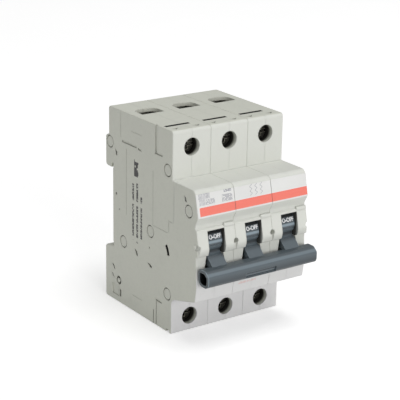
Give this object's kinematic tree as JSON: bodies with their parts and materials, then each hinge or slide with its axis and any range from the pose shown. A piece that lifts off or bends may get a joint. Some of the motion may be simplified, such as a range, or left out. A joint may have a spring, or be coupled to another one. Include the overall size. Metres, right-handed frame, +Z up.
{
  "type": "miniature circuit breaker",
  "caption": "Miniature circuit breaker for a rail: ganged poles with a common handle bar, cage terminals, switching contacts, arc chutes, magnetic and thermal release.",
  "frame": {"origin": "middle of the face that sits on the rail", "axes": "+X across the poles to the right seen from the front, -Y to the front with the handle, +Z up"},
  "size_m": [0.0534, 0.0747, 0.084],
  "materials": {
    "case": "fine matt, warm light grey",
    "label": "smooth paper-like film",
    "rivet": "fine matt",
    "toggle": "satin, dark blue-grey",
    "steel": "plain",
    "spring_steel": "plain",
    "zinc_steel": "zinc plated",
    "copper": "bare copper",
    "silver": "silver alloy",
    "bimetal": "plain",
    "bobbin": "matt",
    "fibre": "matt, red fibre",
    "trip_plastic": "smooth",
    "clip": "smooth"
  },
  "bodies": {
    "case": {"case_left_1": "case", "case_left_2": "case", "case_left_3": "case", "case_right_1": "case", "case_right_2": "case", "case_right_3": "case", "front_labels": "label", "case_rivets": "rivet", "toggle_pins": "steel", "trip_pins": "steel", "line_straps": "copper", "load_straps": "copper", "fixed_contact_strips": "copper", "fixed_contacts": "silver", "trip_coils": "copper", "coil_bobbins": "bobbin", "magnet_cores": "steel", "magnet_yokes": "steel", "arc_plates": "steel", "arc_chute_sides": "fibre", "arc_runners": "steel", "bimetals": "bimetal", "adjusting_screws": "zinc_steel", "copper_braids": "copper", "toggle_springs": "spring_steel", "arm_springs": "spring_steel"},
    "handle": {"toggle_1": "toggle", "toggle_2": "toggle", "toggle_3": "toggle", "handle_bar": "toggle"},
    "trip_gang": {"trip_lever_1": "trip_plastic", "trip_lever_2": "trip_plastic", "trip_lever_3": "trip_plastic", "tie_rods": "steel"},
    "contact_arm_1": {"contact_arm_1": "copper"},
    "trip_link_1": {"trip_link_1": "steel"},
    "plunger_1": {"plunger_1": "steel"},
    "rail_clip_1": {"rail_clip_1": "clip"},
    "line_screw_1": {"line_screw_1": "zinc_steel"},
    "load_screw_1": {"load_screw_1": "zinc_steel"},
    "line_clamp_1": {"line_clamp_1": "zinc_steel"},
    "load_clamp_1": {"load_clamp_1": "zinc_steel"},
    "contact_arm_2": {"contact_arm_2": "copper"},
    "trip_link_2": {"trip_link_2": "steel"},
    "plunger_2": {"plunger_2": "steel"},
    "rail_clip_2": {"rail_clip_2": "clip"},
    "line_screw_2": {"line_screw_2": "zinc_steel"},
    "load_screw_2": {"load_screw_2": "zinc_steel"},
    "line_clamp_2": {"line_clamp_2": "zinc_steel"},
    "load_clamp_2": {"load_clamp_2": "zinc_steel"},
    "contact_arm_3": {"contact_arm_3": "copper"},
    "trip_link_3": {"trip_link_3": "steel"},
    "plunger_3": {"plunger_3": "steel"},
    "rail_clip_3": {"rail_clip_3": "clip"},
    "line_screw_3": {"line_screw_3": "zinc_steel"},
    "load_screw_3": {"load_screw_3": "zinc_steel"},
    "line_clamp_3": {"line_clamp_3": "zinc_steel"},
    "load_clamp_3": {"load_clamp_3": "zinc_steel"}
  },
  "joints": [
    {"name": "handle_pivot", "type": "hinge", "parent": "case", "child": "handle", "pos_m": [0, -0.053, 0], "axis": [-1, 0, 0], "range_deg": [0, 68]},
    {"name": "trip_gang_pivot", "type": "hinge", "parent": "case", "child": "trip_gang", "pos_m": [0, -0.0343, -0.0099], "axis": [1, 0, 0], "range_deg": [0, 12], "stiffness_Nm_per_rad": 0.02, "springref_deg": -11.46},
    {"name": "arm_pivot_1", "type": "hinge", "parent": "case", "child": "contact_arm_1", "pos_m": [-0.0178, -0.0285, -0.003], "axis": [1, 0, 0], "range_deg": [0, 16.6]},
    {"name": "link_pivot_1", "type": "hinge", "parent": "handle", "child": "trip_link_1", "pos_m": [-0.0178, -0.0491, 0.00263], "axis": [1, 0, 0], "range_deg": [0, 78.5]},
    {"name": "plunger_slide_1", "type": "slide", "parent": "case", "child": "plunger_1", "axis": [0, -1, 0], "range_m": [0, 0.0022], "stiffness_N_per_m": 250, "springref_m": -0.001},
    {"name": "rail_clip_slide_1", "type": "slide", "parent": "case", "child": "rail_clip_1", "axis": [0, 0, -1], "range_m": [0, 0.0035], "stiffness_N_per_m": 2000, "springref_m": -0.0005},
    {"name": "line_screw_turn_1", "type": "hinge", "parent": "case", "child": "line_screw_1", "pos_m": [-0.0178, -0.03, 0.03475], "axis": [0, 1, 0], "range_deg": [0, 3151]},
    {"name": "line_clamp_slide_1", "type": "slide", "parent": "case", "child": "line_clamp_1", "axis": [0, -1, 0], "range_m": [0, 0.007]},
    {"name": "load_screw_turn_1", "type": "hinge", "parent": "case", "child": "load_screw_1", "pos_m": [-0.0178, -0.03, -0.0358], "axis": [0, 1, 0], "range_deg": [0, 3151]},
    {"name": "load_clamp_slide_1", "type": "slide", "parent": "case", "child": "load_clamp_1", "axis": [0, -1, 0], "range_m": [0, 0.007]},
    {"name": "arm_pivot_2", "type": "hinge", "parent": "case", "child": "contact_arm_2", "pos_m": [0, -0.0285, -0.003], "axis": [1, 0, 0], "range_deg": [0, 16.6]},
    {"name": "link_pivot_2", "type": "hinge", "parent": "handle", "child": "trip_link_2", "pos_m": [0, -0.0491, 0.00263], "axis": [1, 0, 0], "range_deg": [0, 78.5]},
    {"name": "plunger_slide_2", "type": "slide", "parent": "case", "child": "plunger_2", "axis": [0, -1, 0], "range_m": [0, 0.0022], "stiffness_N_per_m": 250, "springref_m": -0.001},
    {"name": "rail_clip_slide_2", "type": "slide", "parent": "case", "child": "rail_clip_2", "axis": [0, 0, -1], "range_m": [0, 0.0035], "stiffness_N_per_m": 2000, "springref_m": -0.0005},
    {"name": "line_screw_turn_2", "type": "hinge", "parent": "case", "child": "line_screw_2", "pos_m": [0, -0.03, 0.03475], "axis": [0, 1, 0], "range_deg": [0, 3151]},
    {"name": "line_clamp_slide_2", "type": "slide", "parent": "case", "child": "line_clamp_2", "axis": [0, -1, 0], "range_m": [0, 0.007]},
    {"name": "load_screw_turn_2", "type": "hinge", "parent": "case", "child": "load_screw_2", "pos_m": [0, -0.03, -0.0358], "axis": [0, 1, 0], "range_deg": [0, 3151]},
    {"name": "load_clamp_slide_2", "type": "slide", "parent": "case", "child": "load_clamp_2", "axis": [0, -1, 0], "range_m": [0, 0.007]},
    {"name": "arm_pivot_3", "type": "hinge", "parent": "case", "child": "contact_arm_3", "pos_m": [0.0178, -0.0285, -0.003], "axis": [1, 0, 0], "range_deg": [0, 16.6]},
    {"name": "link_pivot_3", "type": "hinge", "parent": "handle", "child": "trip_link_3", "pos_m": [0.0178, -0.0491, 0.00263], "axis": [1, 0, 0], "range_deg": [0, 78.5]},
    {"name": "plunger_slide_3", "type": "slide", "parent": "case", "child": "plunger_3", "axis": [0, -1, 0], "range_m": [0, 0.0022], "stiffness_N_per_m": 250, "springref_m": -0.001},
    {"name": "rail_clip_slide_3", "type": "slide", "parent": "case", "child": "rail_clip_3", "axis": [0, 0, -1], "range_m": [0, 0.0035], "stiffness_N_per_m": 2000, "springref_m": -0.0005},
    {"name": "line_screw_turn_3", "type": "hinge", "parent": "case", "child": "line_screw_3", "pos_m": [0.0178, -0.03, 0.03475], "axis": [0, 1, 0], "range_deg": [0, 3151]},
    {"name": "line_clamp_slide_3", "type": "slide", "parent": "case", "child": "line_clamp_3", "axis": [0, -1, 0], "range_m": [0, 0.007]},
    {"name": "load_screw_turn_3", "type": "hinge", "parent": "case", "child": "load_screw_3", "pos_m": [0.0178, -0.03, -0.0358], "axis": [0, 1, 0], "range_deg": [0, 3151]},
    {"name": "load_clamp_slide_3", "type": "slide", "parent": "case", "child": "load_clamp_3", "axis": [0, -1, 0], "range_m": [0, 0.007]}
  ],
  "couplings": [
    {"joint": "arm_pivot_1", "follows": "handle_pivot", "ratio": 0.24382},
    {"joint": "link_pivot_1", "follows": "handle_pivot", "ratio": 1.1525},
    {"joint": "line_screw_turn_1", "follows": "line_clamp_slide_1", "rad_per_m": 7854},
    {"joint": "load_screw_turn_1", "follows": "load_clamp_slide_1", "rad_per_m": 7854},
    {"joint": "arm_pivot_2", "follows": "handle_pivot", "ratio": 0.24382},
    {"joint": "link_pivot_2", "follows": "handle_pivot", "ratio": 1.1525},
    {"joint": "line_screw_turn_2", "follows": "line_clamp_slide_2", "rad_per_m": 7854},
    {"joint": "load_screw_turn_2", "follows": "load_clamp_slide_2", "rad_per_m": 7854},
    {"joint": "arm_pivot_3", "follows": "handle_pivot", "ratio": 0.24382},
    {"joint": "link_pivot_3", "follows": "handle_pivot", "ratio": 1.1525},
    {"joint": "line_screw_turn_3", "follows": "line_clamp_slide_3", "rad_per_m": 7854},
    {"joint": "load_screw_turn_3", "follows": "load_clamp_slide_3", "rad_per_m": 7854}
  ]
}
